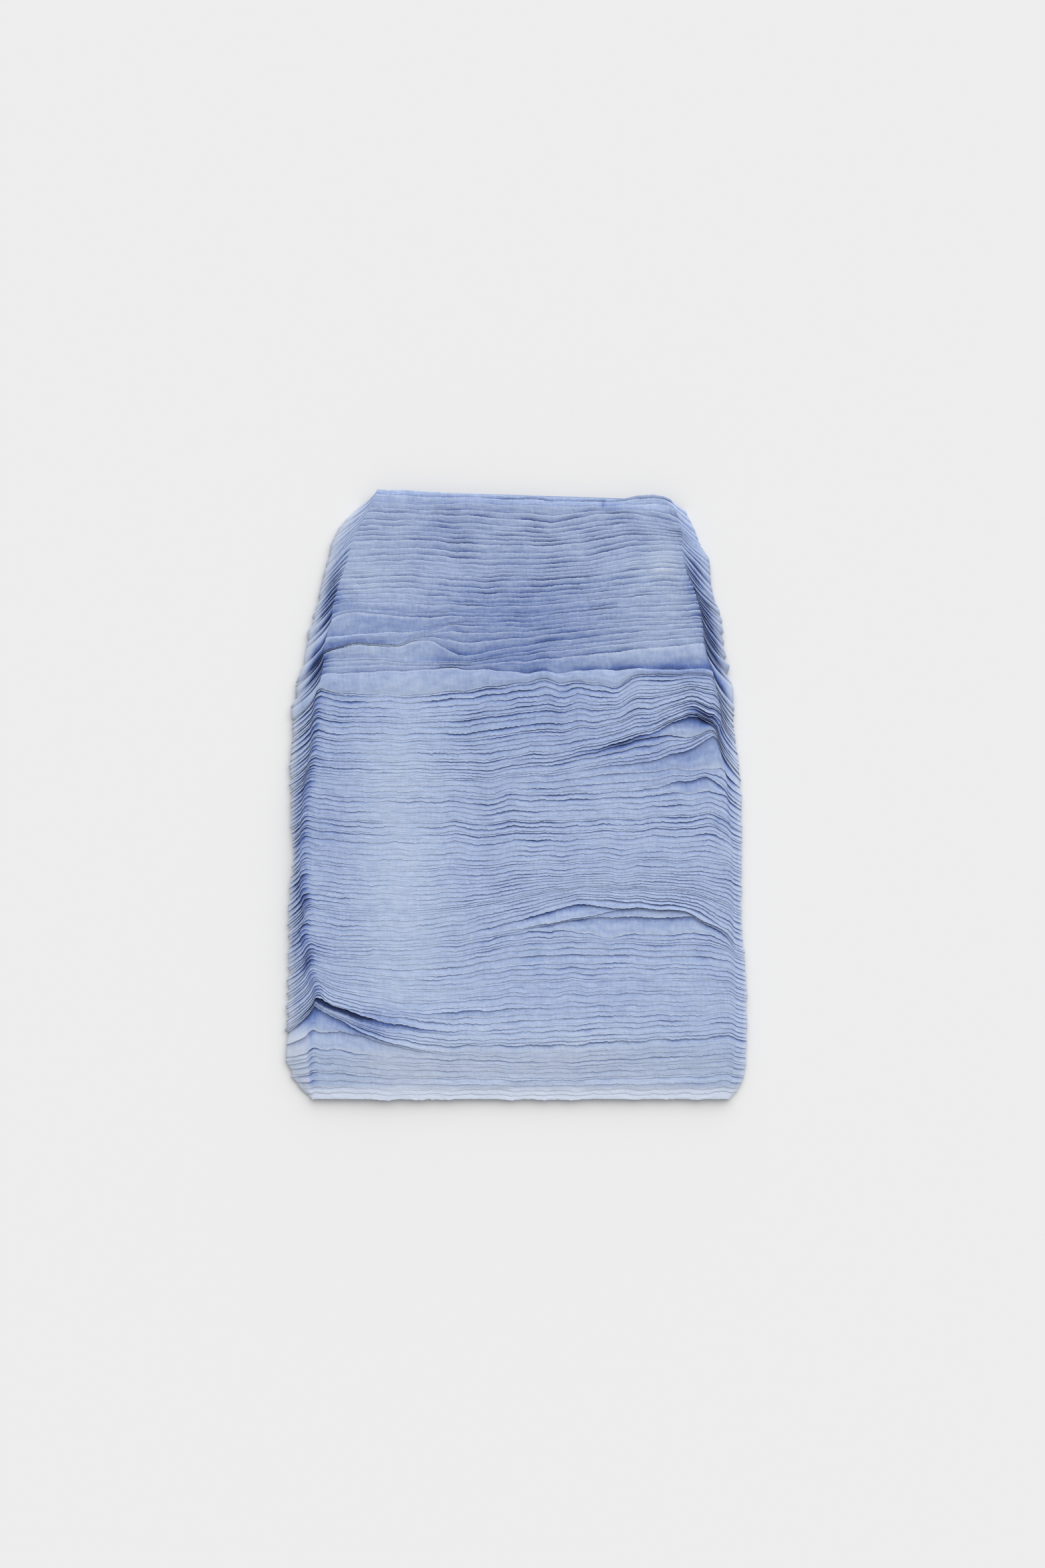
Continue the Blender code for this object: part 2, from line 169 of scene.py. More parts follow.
Guide = namedtuple("Guide", "row points")
GUIDES = (
    Guide(0, ((566, 734), (700, 740), (860, 747), (930, 748), (966, 742), (1000, 746), (1015, 754))),
    Guide(2, (
        (560, 752), (628, 758), (700, 755), (800, 759), (896, 760), (960, 756), (1000, 758), (1018, 769),
    )),
    Guide(4, (
        (552, 768), (640, 772), (700, 774), (760, 778), (825, 784), (896, 772), (939, 770), (1022, 786),
    )),
    Guide(11, ((520, 836), (620, 832), (700, 838), (760, 839), (862, 836), (978, 817), (1030, 819))),
    Guide(18, ((500, 886), (600, 882), (700, 890), (760, 890), (880, 884), (1000, 872), (1045, 872))),
    Guide(23, ((486, 930), (529, 919), (638, 926), (690, 925), (760, 926), (900, 915), (1052, 905))),
    Guide(24, (
        (482, 957), (560, 950), (638, 945), (668, 939), (700, 934), (760, 934), (900, 923), (1053, 914),
    )),
    Guide(25, (
        (478, 976), (500, 971), (536, 963), (590, 966), (626, 954), (653, 945), (687, 938), (760, 941),
        (900, 931), (1054, 924),
    )),
    Guide(28, (
        (476, 981), (500, 976), (536, 968), (590, 971), (626, 961), (645, 961), (668, 973), (692, 983),
        (720, 981), (760, 973), (900, 954), (1056, 940),
    )),
    Guide(29, (
        (476, 990), (536, 987), (575, 988), (604, 992), (677, 992), (720, 989), (760, 982), (900, 963),
        (1057, 949),
    )),
    Guide(31, ((475, 1001), (575, 998), (677, 999), (760, 994), (893, 981), (1060, 964))),
    Guide(32, (
        (474, 1012), (590, 1007), (677, 1003), (800, 1009), (905, 1005), (1000, 1004), (1068, 1004),
    )),
    Guide(33, (
        (474, 1036), (490, 1039), (601, 1042), (708, 1034), (830, 1020), (900, 1026), (919, 1027),
        (957, 1014), (992, 1011), (1053, 1011), (1074, 1013),
    )),
    Guide(50, (
        (467, 1146), (600, 1148), (700, 1147), (800, 1138), (850, 1131), (869, 1127), (913, 1118),
        (956, 1105), (1000, 1090), (1020, 1081), (1039, 1077), (1056, 1081), (1068, 1089), (1078, 1099),
    )),
    Guide(51, (
        (466, 1151), (600, 1154), (700, 1153), (850, 1136), (869, 1132), (913, 1122), (956, 1110),
        (985, 1103), (1000, 1105), (1025, 1107), (1048, 1104), (1062, 1097), (1078, 1101),
    )),
    Guide(52, (
        (465, 1156), (600, 1159), (700, 1158), (850, 1142), (869, 1139), (913, 1131), (956, 1120),
        (1000, 1113), (1045, 1107), (1062, 1099), (1078, 1103),
    )),
    Guide(53, (
        (465, 1161), (600, 1164), (700, 1163), (850, 1151), (869, 1148), (913, 1140), (970, 1130),
        (1013, 1119), (1045, 1109), (1062, 1101), (1079, 1105),
    )),
    Guide(55, (
        (464, 1169), (600, 1172), (700, 1170), (850, 1158), (930, 1147), (982, 1139), (1010, 1132),
        (1045, 1119), (1070, 1108), (1080, 1110),
    )),
    Guide(56, (
        (463, 1175), (600, 1179), (700, 1178), (850, 1168), (930, 1160), (985, 1156), (1040, 1154),
        (1084, 1157),
    )),
    Guide(59, (
        (460, 1192), (600, 1197), (850, 1190), (930, 1187), (980, 1182), (1055, 1167), (1066, 1171),
        (1090, 1186),
    )),
    Guide(60, ((459, 1198), (600, 1203), (850, 1198), (980, 1193), (1040, 1189), (1090, 1193))),
    Guide(66, ((456, 1234), (600, 1241), (850, 1238), (985, 1234), (1060, 1230), (1096, 1242))),
    Guide(78, ((451, 1312), (520, 1318), (600, 1322), (850, 1308), (1000, 1306), (1098, 1312))),
    Guide(91, (
        (455, 1398), (520, 1403), (600, 1404), (680, 1396), (800, 1366), (876, 1349), (950, 1353),
        (1035, 1362), (1060, 1374), (1100, 1402),
    )),
    Guide(92, (
        (455, 1404), (520, 1409), (600, 1410), (680, 1403), (800, 1374), (876, 1357), (914, 1361),
        (988, 1363), (1035, 1370), (1045, 1377), (1086, 1397), (1100, 1411),
    )),
    Guide(93, (
        (456, 1410), (520, 1415), (600, 1416), (680, 1410), (800, 1389), (888, 1374), (943, 1362),
        (990, 1365), (1037, 1372), (1086, 1399), (1100, 1415),
    )),
    Guide(94, (
        (456, 1415), (520, 1420), (600, 1420), (680, 1414), (800, 1392), (895, 1376), (904, 1375),
        (1043, 1376), (1052, 1382), (1086, 1402), (1100, 1418),
    )),
    Guide(95, (
        (457, 1420), (520, 1425), (600, 1425), (680, 1419), (800, 1397), (831, 1396), (869, 1400),
        (920, 1405), (960, 1401), (1000, 1401), (1059, 1402), (1100, 1422),
    )),
    Guide(97, (
        (458, 1431), (520, 1435), (600, 1436), (680, 1432), (800, 1411), (869, 1410), (960, 1413),
        (1059, 1414), (1100, 1428),
    )),
    Guide(110, (
        (472, 1484), (500, 1496), (560, 1510), (600, 1517), (650, 1519), (700, 1517), (790, 1512),
        (1102, 1506),
    )),
    Guide(112, (
        (473, 1491), (492, 1504), (540, 1517), (600, 1525), (650, 1532), (700, 1537), (790, 1530),
        (1102, 1520),
    )),
    Guide(113, (
        (472, 1493), (480, 1500), (494, 1506), (516, 1514), (561, 1528), (602, 1537), (699, 1547),
        (800, 1540), (1102, 1527),
    )),
    Guide(114, (
        (472, 1498), (478, 1509), (494, 1516), (516, 1524), (540, 1531), (561, 1536), (602, 1542),
        (699, 1552), (800, 1547), (1102, 1534),
    )),
    Guide(118, (
        (472, 1504), (480, 1515), (494, 1523), (516, 1534), (529, 1541), (561, 1555), (592, 1565),
        (626, 1573), (699, 1579), (800, 1579), (1102, 1565),
    )),
    Guide(119, (
        (461, 1549), (474, 1549), (520, 1551), (559, 1557), (600, 1569), (640, 1577), (713, 1584),
        (800, 1586), (1102, 1573),
    )),
    Guide(120, (
        (461, 1576), (474, 1575), (500, 1575), (529, 1580), (592, 1585), (699, 1590), (800, 1593),
        (1102, 1580),
    )),
    Guide(129, (
        (462, 1648), (520, 1649), (640, 1650), (800, 1650), (1000, 1649), (1060, 1648), (1102, 1643),
    )),
)

# Outline and side folds, as pixel columns at pixel rows
LEFT_OUTER = (
    (733, 560), (753, 544), (773, 524), (793, 507), (813, 497), (833, 492), (873, 481), (913, 473),
    (953, 462), (993, 453), (1033, 443), (1093, 437), (1173, 434), (1273, 438), (1333, 434), (1373, 430),
    (1433, 432), (1493, 431), (1533, 429), (1573, 426), (1600, 431), (1620, 441), (1640, 458), (1650, 466),
)
RIGHT_OUTER = (
    (733, 1007), (753, 1020), (773, 1034), (793, 1044), (813, 1051), (833, 1062), (873, 1069), (913, 1079),
    (953, 1086), (993, 1092), (1033, 1099), (1093, 1103), (1173, 1112), (1273, 1114), (1373, 1114),
    (1433, 1118), (1493, 1122), (1573, 1121), (1613, 1118), (1633, 1110), (1650, 1096),
)
LEFT_RIDGE = (
    (733, 567), (760, 556), (810, 530), (850, 519), (875, 509), (905, 501), (940, 496), (965, 487),
    (990, 486), (1010, 483), (1034, 475), (1078, 469), (1116, 467), (1165, 459), (1240, 452), (1330, 451),
    (1372, 458), (1397, 450), (1419, 457), (1451, 460), (1496, 473), (1549, 461), (1600, 463), (1650, 468),
)
RIGHT_RIDGE = (
    (733, 1000), (783, 1018), (849, 1028), (885, 1042), (912, 1050), (939, 1054), (967, 1057), (994, 1067),
    (1014, 1071), (1036, 1077), (1073, 1082), (1100, 1077), (1120, 1078), (1141, 1085), (1165, 1089),
    (1205, 1092), (1260, 1097), (1350, 1099), (1430, 1101), (1550, 1103), (1650, 1093),
)

# How steeply the strips run down along the side folds, in pixels down for each pixel out, at pixel rows
LEFT_SLOPES = (
    (733, 1.3), (870, 1.2), (1000, 1.4), (1060, 1.0), (1200, 0.9), (1320, 1.1), (1400, 0.9), (1500, 1.0),
    (1570, 0.3), (1650, 0.2),
)
RIGHT_SLOPES = (
    (733, 0.7), (820, 1.2), (870, 1.7), (990, 1.8), (1020, 1.7), (1075, 1.8), (1095, 1.9), (1112, 2.0),
    (1150, 1.1), (1200, 0.9), (1270, 0.5), (1400, 0.5), (1550, 0.3), (1650, 0.2),
)

# How the strips bend over the side folds, at pixel rows: under 1 at once, over 1 little by little
LEFT_BENDS = ((733, 1.35), (880, 1.2), (950, 0.7), (1650, 0.7))
RIGHT_BENDS = ((733, 1.2), (810, 1.1), (865, 0.7), (1650, 0.7))

# How wide the strips gape along the side folds, and how much painted shade sits in the gapes, at pixel rows
LEFT_GAPES = (
    (733, 0.3), (840, 0.6), (875, 2.6), (915, 2.2), (945, 0.9), (970, 2.0), (992, 3.2), (1020, 1.6),
    (1060, 0.7), (1300, 0.6), (1345, 1.2), (1400, 0.9), (1440, 0.4), (1500, 0.5), (1560, 0.1), (1650, 0.1),
)
RIGHT_GAPES = (
    (733, 0.2), (820, 0.4), (850, 1.6), (890, 2.4), (960, 3.0), (1000, 2.6), (1020, 1.6), (1060, 1.1),
    (1150, 1.1), (1200, 0.6), (1260, 0.15), (1650, 0.1),
)

# How far the strips' turned ends stand out unevenly, in pixels, at pixel rows
LEFT_RAGS = (
    (733, 0.6), (930, 1.5), (955, 2.6), (1050, 2.6), (1085, 1.6), (1480, 1.6), (1540, 2.6), (1650, 2.0),
)
RIGHT_RAGS = ((733, 1.0), (900, 1.6), (930, 3.0), (1010, 3.0), (1035, 1.0), (1650, 0.7))

# How dark the painted shade in the crease along the right ridge is, at pixel rows
RIGHT_CREASE_SHADE = (
    (1000, 0.0), (1015, 0.7), (1060, 0.9), (1090, 0.5), (1105, 0.9), (1145, 0.9), (1165, 0.2), (1190, 0.6),
    (1235, 0.5), (1260, 0.0),
)

# Places where a strip's edge lifts off the one below it. The lift fades over some rows on the covering side,
# and the slit shade is painted shade on the cloth just inside the mouth.
Mouth = namedtuple("Mouth", "row x width lift fade slit")
MOUTHS = (
    Mouth(25, 520, 60, 1.5, 1.5, 0.5),
    Mouth(27, 500, 26, 1.0, 1.0, 1.4),
    Mouth(28, 497, 24, 1.0, 1.0, 1.6),
    Mouth(44, 1056, 20, 1.0, 2.0, 1.6),
    Mouth(46, 1058, 20, 1.0, 1.0, 2.8),
    Mouth(47, 1060, 18, 1.0, 1.0, 3.2),
    Mouth(48, 1060, 20, 1.0, 1.0, 3.4),
    Mouth(49, 1058, 22, 1.2, 1.0, 3.4),
    Mouth(50, 1028, 40, 2.4, 5.0, 0.5),
    Mouth(50, 935, 50, 1.4, 2.0, 1.8),
    Mouth(51, 930, 50, 0.6, 1.0, 0.5),
    Mouth(55, 1030, 60, 1.3, 2.0, 0.1),
    Mouth(59, 1040, 26, 0.8, 1.5, 0.15),
    Mouth(92, 985, 95, 3.0, 2.0, 0.3),
    Mouth(93, 850, 60, 1.2, 1.0, 0.4),
    Mouth(94, 975, 70, 0.6, 1.0, 0.0),
    Mouth(110, 700, 80, 0.8, 1.0, 0.4),
    Mouth(113, 505, 58, 2.6, 3.0, 3.4),
    Mouth(113, 610, 60, 0.8, 2.0, 1.4),
    Mouth(118, 540, 90, 2.2, 2.0, 0.3),
)

# Broad painted light and shade, patches lighter or darker as the light falls on the pile: centre and half
# widths in pixels, and amount, darker below 0
Tone = namedtuple("Tone", "x y width height amount")
LIGHT_AND_SHADE_PATCHES = (
    Tone(600, 1330, 75, 330, 0.30),
    Tone(540, 860, 60, 60, 0.14),
    Tone(965, 890, 60, 90, 0.15),
    Tone(1036, 815, 22, 50, -0.20),
    Tone(996, 846, 26, 26, 0.42),
    Tone(505, 800, 22, 60, -0.20),
    Tone(575, 930, 65, 22, -0.34),
    Tone(780, 928, 160, 66, -0.48),
    Tone(760, 990, 100, 16, -0.38),
    Tone(590, 1008, 90, 12, -0.24),
    Tone(1015, 1005, 60, 12, -0.46),
    Tone(655, 795, 45, 30, -0.24),
    Tone(800, 1075, 130, 70, -0.16),
    Tone(500, 1200, 50, 230, -0.16),
    Tone(570, 1068, 90, 30, -0.12),
    Tone(1000, 1135, 60, 42, -0.22),
    Tone(780, 1600, 400, 60, 0.46),
    Tone(1030, 1095, 30, 9, 0.50),
    Tone(565, 1536, 58, 28, -0.72),
    Tone(800, 750, 300, 14, -0.14),
    Tone(522, 904, 26, 11, -0.40),
)

# Painted shade in the creases between the strips where they turn over the sides, more for darker
CREASE_SHADES = (
    Tone(1041, 868, 12, 24, 2.1),
    Tone(1059, 910, 15, 28, 2.8),
    Tone(1074, 957, 15, 28, 3.2),
    Tone(1088, 1000, 13, 20, 2.8),
    Tone(499, 882, 12, 26, 3.0),
    Tone(488, 915, 11, 14, 2.0),
    Tone(482, 985, 13, 17, 4.0),
    Tone(474, 1010, 9, 12, 2.4),
    Tone(455, 1345, 9, 16, 1.8),
    Tone(454, 1398, 9, 16, 0.8),
    Tone(464, 1440, 9, 14, 0.7),
    Tone(1078, 1235, 12, 10, 0.8),
    Tone(1050, 1091, 17, 13, 1.9),
)

# Steps between the rows, in millimetres, and where they are quieter or busier, in pixels
UPPER_STEP = 0.58
LOWER_STEP = 0.40
EYE_STEP = 0.34
EYE_DOWN = Bump(1075.0, 95.0)
STEPS_BELOW_TURN = Ramp(1010.0, 40.0)
LIVELY_ACROSS = Ramp(600.0, 90.0)
CALM_BAND = Bump(595.0, 50.0)
SMOOTH_CORNER_END = Ramp(815.0, 45.0)
TURNED_STEP_LIMITS = (0.5, 1.4)
BUSY_PLACES = (
    Tone(790, 1280, 90, 110, 0.34),
    Tone(1050, 1300, 70, 120, 0.26),
)

# Places beside the ridges, in pixels, and along a side fold, as a share of its width
NEAR_LEFT_RIDGE = Bump(2.0, 9.0)
NEAR_RIGHT_RIDGE = Bump(1.0, 6.0)
GAPE_PLACE = Bump(0.22, 0.40)
TURNED_FROM = 0.15

# Painted shade in a strip's colour: under its cover, inside mouths, in gapes and creases, and turned over the
# two sides, whose free ends are painted lighter
UNDER_SHADE = 0.85
FULL_SHADE_STEP = 0.8
UNDER_LIMITS = (0.25, 1.6)
LIFT_SHADE = 0.14
GAPE_SHADE = 0.42
CREASE_SHADE = 0.50
LEFT_RIDGE_SHADE = 1.5
TURNED_SHADES = (1.05, 0.75)
TURNED_IN = 1.15
TURNED_OUT = 0.42
RAW_EDGE = 0.18

# Small dark mark in the waist edge, in pixels: a faint patch, and a darker stroke at its left
PATCH_LEFT = Ramp(903.0, 6.0)
PATCH_RIGHT = Ramp(937.0, -16.0)
PATCH_TOP = Ramp(750.0, 8.0)
PATCH_BOTTOM = Ramp(769.0, -4.0)
STROKE_ACROSS = Bump(905.0, 3.0)
STROKE_TOP = Ramp(748.0, 4.0)
STROKE_BOTTOM = Ramp(766.0, -5.0)
STROKE_STRENGTH = 1.6
MARK_TONE = -0.32

# Where the cloth is painted pale, in pixels: at the hem, the tips and the low left corner. It stands partly
# for thin single cloth over the pale surface and partly for painted light on parts that face away from the
# light. The first value for the tips is a share of the side fold's width.
PALE_HEM = Ramp(1625.0, 14.0)
PALE_TIPS = Ramp(0.55, 0.45)
PALE_RIGHT_TIPS = Ramp(850.0, 80.0)
PALE_CORNER_ACROSS = Ramp(468.0, -8.0)
PALE_CORNER_DOWN = Ramp(1535.0, 20.0)

# Soft troughs that run down the skirt: place, lean, half width, depth in millimetres, drop of the rows in
# pixels, and the pixel rows between which they run
Trough = namedtuple("Trough", "x lean width depth drop top bottom")
TROUGHS = (
    Trough(702, 0.10, 15, 1.3, 3.5, 1080, 1370),
    Trough(838, -0.05, 20, 0.9, 2.5, 1060, 1340),
    Trough(655, 0.25, 24, 0.8, 0.0, 740, 900),
)

# Fades of the troughs at their two ends, in pixels, and where the rows drop beside them, in half widths
TROUGH_FADE_IN = 40.0
TROUGH_FADE_OUT = 50.0
DROP_SHIFT = 0.8
DROP_WIDTH = 1.4

# Colours of the cloth from its core to its deep and navy painted shade and its pale edges and painted light,
# and of the surface below it
STRIP_CORE = (0.375, 0.465, 0.675, 1.0)
STRIP_DEEP = (0.10, 0.165, 0.43, 1.0)
STRIP_DEEPEST_SHADE = (0.022, 0.036, 0.11, 1.0)
STRIP_PALE = (0.62, 0.68, 0.80, 1.0)
PANEL_CORE = (0.30, 0.38, 0.60, 1.0)
PANEL_DEEP = (0.11, 0.175, 0.40, 1.0)
FLOOR_COLOUR = (0.86, 0.86, 0.86, 1.0)
CLOTH_SURFACE = {"Roughness": 0.85, "Sheen Weight": 0.15, "Sheen Roughness": 0.5, "Specular IOR Level": 0.2}
FLOOR_SURFACE = {"Base Color": FLOOR_COLOUR, "Roughness": 0.9, "Specular IOR Level": 0.1}

# Textures of the cloth: scale, stretch and detail of the noise, and how far it changes the tone
Texture = namedtuple("Texture", "scale stretch detail tone")
PATCHES = Texture(14.0, (1.0, 2.2, 1.0), 2.0, 0.35)
WEAVE = Texture(1500.0, (1.0, 1.0, 1.0), 1.0, 0.5)
# Crinkles and streaks also raise the relief, so the tone they add is uneven colour and also painted shade in
# the relief's valleys
CRINKLE = Texture(210.0, (2.2, 0.6, 1.0), 3.0, 0.55)
STREAKS = Texture(300.0, (0.25, 2.6, 1.0), 2.0, 0.9)
FRAY = Texture(900.0, (1.0, 1.6, 1.0), 2.0, 0.8)
# Relief of the textures: strength, and height in metres
CRINKLE_RELIEF = (0.4, 0.0008)
STREAK_RELIEF = (0.6, 0.0008)
WEAVE_RELIEF = (0.35, 0.0002)

# The surface, in metres
FLOOR_SIZE = 8.0
FLOOR_Z = -0.0004

# Light from beyond the waist and a little from the right. The angle is its width in degrees.
WORLD_STRENGTH = 0.40
KEY_DIRECTION = (0.28, 1.0, 0.85)
KEY_STRENGTH = 2.90
KEY_ANGLE = 85.0

# The camera's height and that of the skirt's top, where the picture's frame fits, in metres, and the width of
# the sensor in millimetres
CAMERA_HEIGHT = 3.0
SKIRT_TOP = 0.013
SENSOR_WIDTH = 36.0


def smooth(value):
    """Eases from 0 to 1 as value goes from 0 to 1."""
    share = np.clip(value, 0.0, 1.0)
    return share * share * (3.0 - 2.0 * share)


def ease(value, ramp):
    """Eases from 0 at the ramp's start to 1 at its far end."""
    return smooth((value - ramp.start) / ramp.width)


def bell(distance, width):
    """Soft bump, 1 at no distance."""
    return np.exp(-((distance / width) ** 2))


def hill(value, bump):
    """Soft bump, 1 at its middle."""
    return bell(value - bump.middle, bump.width)


def spots_at(spots, x, y):
    """Sum of soft spots at a pixel."""
    total = np.zeros_like(x)
    for spot in spots:
        total += spot.amount * bell(x - spot.x, spot.width) * bell(y - spot.y, spot.height)
    return total


def curve(table, at):
    """Smooth curve through a table of pairs, level beyond its ends."""
    keys = np.array([pair[0] for pair in table], float)
    values = np.array([pair[1] for pair in table], float)
    at = np.clip(np.asarray(at, float), keys[0], keys[-1])
    spans = np.diff(keys)
    rises = np.diff(values) / spans
    slopes = np.concatenate((rises[:1], np.zeros(len(rises) - 1), rises[-1:]))
    mean = (rises[:-1] * spans[1:] + rises[1:] * spans[:-1]) / (spans[:-1] + spans[1:])
    limit = 3.0 * np.minimum(np.abs(rises[:-1]), np.abs(rises[1:]))
    slopes[1:-1] = np.where(rises[:-1] * rises[1:] > 0.0, np.clip(mean, -limit, limit), 0.0)
    index = np.clip(np.searchsorted(keys, at, side="right") - 1, 0, len(spans) - 1)
    span = spans[index]
    t = (at - keys[index]) / span
    start = (2.0 * t**3 - 3.0 * t**2 + 1.0) * values[index] + (t**3 - 2.0 * t**2 + t) * slopes[index] * span
    end = (3.0 * t**2 - 2.0 * t**3) * values[index + 1] + (t**3 - t**2) * slopes[index + 1] * span
    return start + end


def world_x(pixel_x):
    return (pixel_x - ORIGIN_PIXEL_X) * MM_PER_PIXEL


def world_y(pixel_y):
    return (ORIGIN_PIXEL_Y - pixel_y) * MM_PER_PIXEL


def row_noise(generator, x, noise):
    """Soft noise along every row that changes slowly from row to row, about -1 to 1."""
    rows = len(x)
    total = np.zeros_like(x)
    for length in noise.lengths:
        phase = np.cumsum(generator.normal(0.0, noise.drift, rows)) + generator.uniform(0.0, 2.0 * math.pi)
        strength = generator.uniform(*NOISE_STRENGTHS, rows)
        total += strength[:, None] * np.sin(2.0 * math.pi * x / length + phase[:, None])
    return total / math.sqrt(len(noise.lengths))


def keep_order(y, spacing):
    """Pushes rows down where they would come closer than the spacing."""
    index = np.arange(len(y))[:, None] * spacing
    return np.maximum.accumulate(y - index, axis=0) + index


def pile_height(x, y):
    """Height of the pile's top over the flat part of the skirt, in millimetres, at a pixel."""
    hem = HEM_REST + (1.0 - HEM_REST) * smooth((HEM_PIXEL_Y - y) * MM_PER_PIXEL / HEM_FALL)
    from_waist = (y - curve(WAIST_PIXEL_Y, x)) * MM_PER_PIXEL
    waist = WAIST_REST + (1.0 - WAIST_REST) * smooth(from_waist / WAIST_FALL)
    ends = np.minimum(hem, waist)
    swell = 1.0 + SWELL_SHARE * hill(x, SWELL_ACROSS) * ease(y, SWELL_DOWN)
    ripple = sum(part.height * np.sin(x / part.across + y / part.down) for part in RIPPLES)
    return FLOOR_GAP + (PANEL_TOP - FLOOR_GAP) * ends + PILE * swell * (0.45 + 0.55 * ends) + ripple * ends


def wave_growth(x, y):
    """How strongly the rows wave: little on the left, most to the right of the middle below the turn."""
    across = 0.2 + 0.8 * ease(x, WAVES_ACROSS)
    length, bend_length, down_length, slant_length = WANDER_LENGTHS
    bend = 1.3 * np.sin(y / bend_length)
    wander = np.sin(x / length + bend) * np.sin(y / down_length + x / slant_length)
    return across * curve(WAVES_DOWN, y) * (0.7 + 0.5 * wander)


def wave_phase(wave, x, y):
    return 2.0 * math.pi * (x / wave.across + y / wave.down)


def row_positions(generator):
    """Each row's place among the guides, as a guide number with a fraction, unevenly spaced."""
    positions = []
    for number, (guide, following) in enumerate(zip(GUIDES, GUIDES[1:])):
        pitches = np.clip(generator.normal(1.0, PITCH_SPREAD, following.row - guide.row), *PITCH_LIMITS)
        marks = np.concatenate(([0.0], np.cumsum(pitches)[:-1])) / pitches.sum()
        positions.extend(number + marks)
    positions.append(float(len(GUIDES) - 1))
    return np.array(positions)


def between_guides(positions, x):
    """Pixel height of every row at its pixels x."""
    heights = np.array([curve(guide.points, x) for guide in GUIDES])
    number = np.clip(positions.astype(int), 0, len(GUIDES) - 2)
    share = (positions - number)[:, None]
    rows = np.arange(len(positions))
    return heights[number, rows] * (1.0 - share) + heights[number + 1, rows] * share


def troughs_at(x, y):
    """Depth of the soft troughs in millimetres and the rows' drop in pixels."""
    depth = np.zeros_like(x)
    drop = np.zeros_like(x)
    for trough in TROUGHS:
        middle = trough.x + trough.lean * (y - trough.top)
        along = smooth((y - trough.top) / TROUGH_FADE_IN) * smooth((trough.bottom - y) / TROUGH_FADE_OUT)
        depth += trough.depth * along * bell(x - middle, trough.width)
        drop += trough.drop * along * bell(x - middle - DROP_SHIFT * trough.width, DROP_WIDTH * trough.width)
    return depth, drop


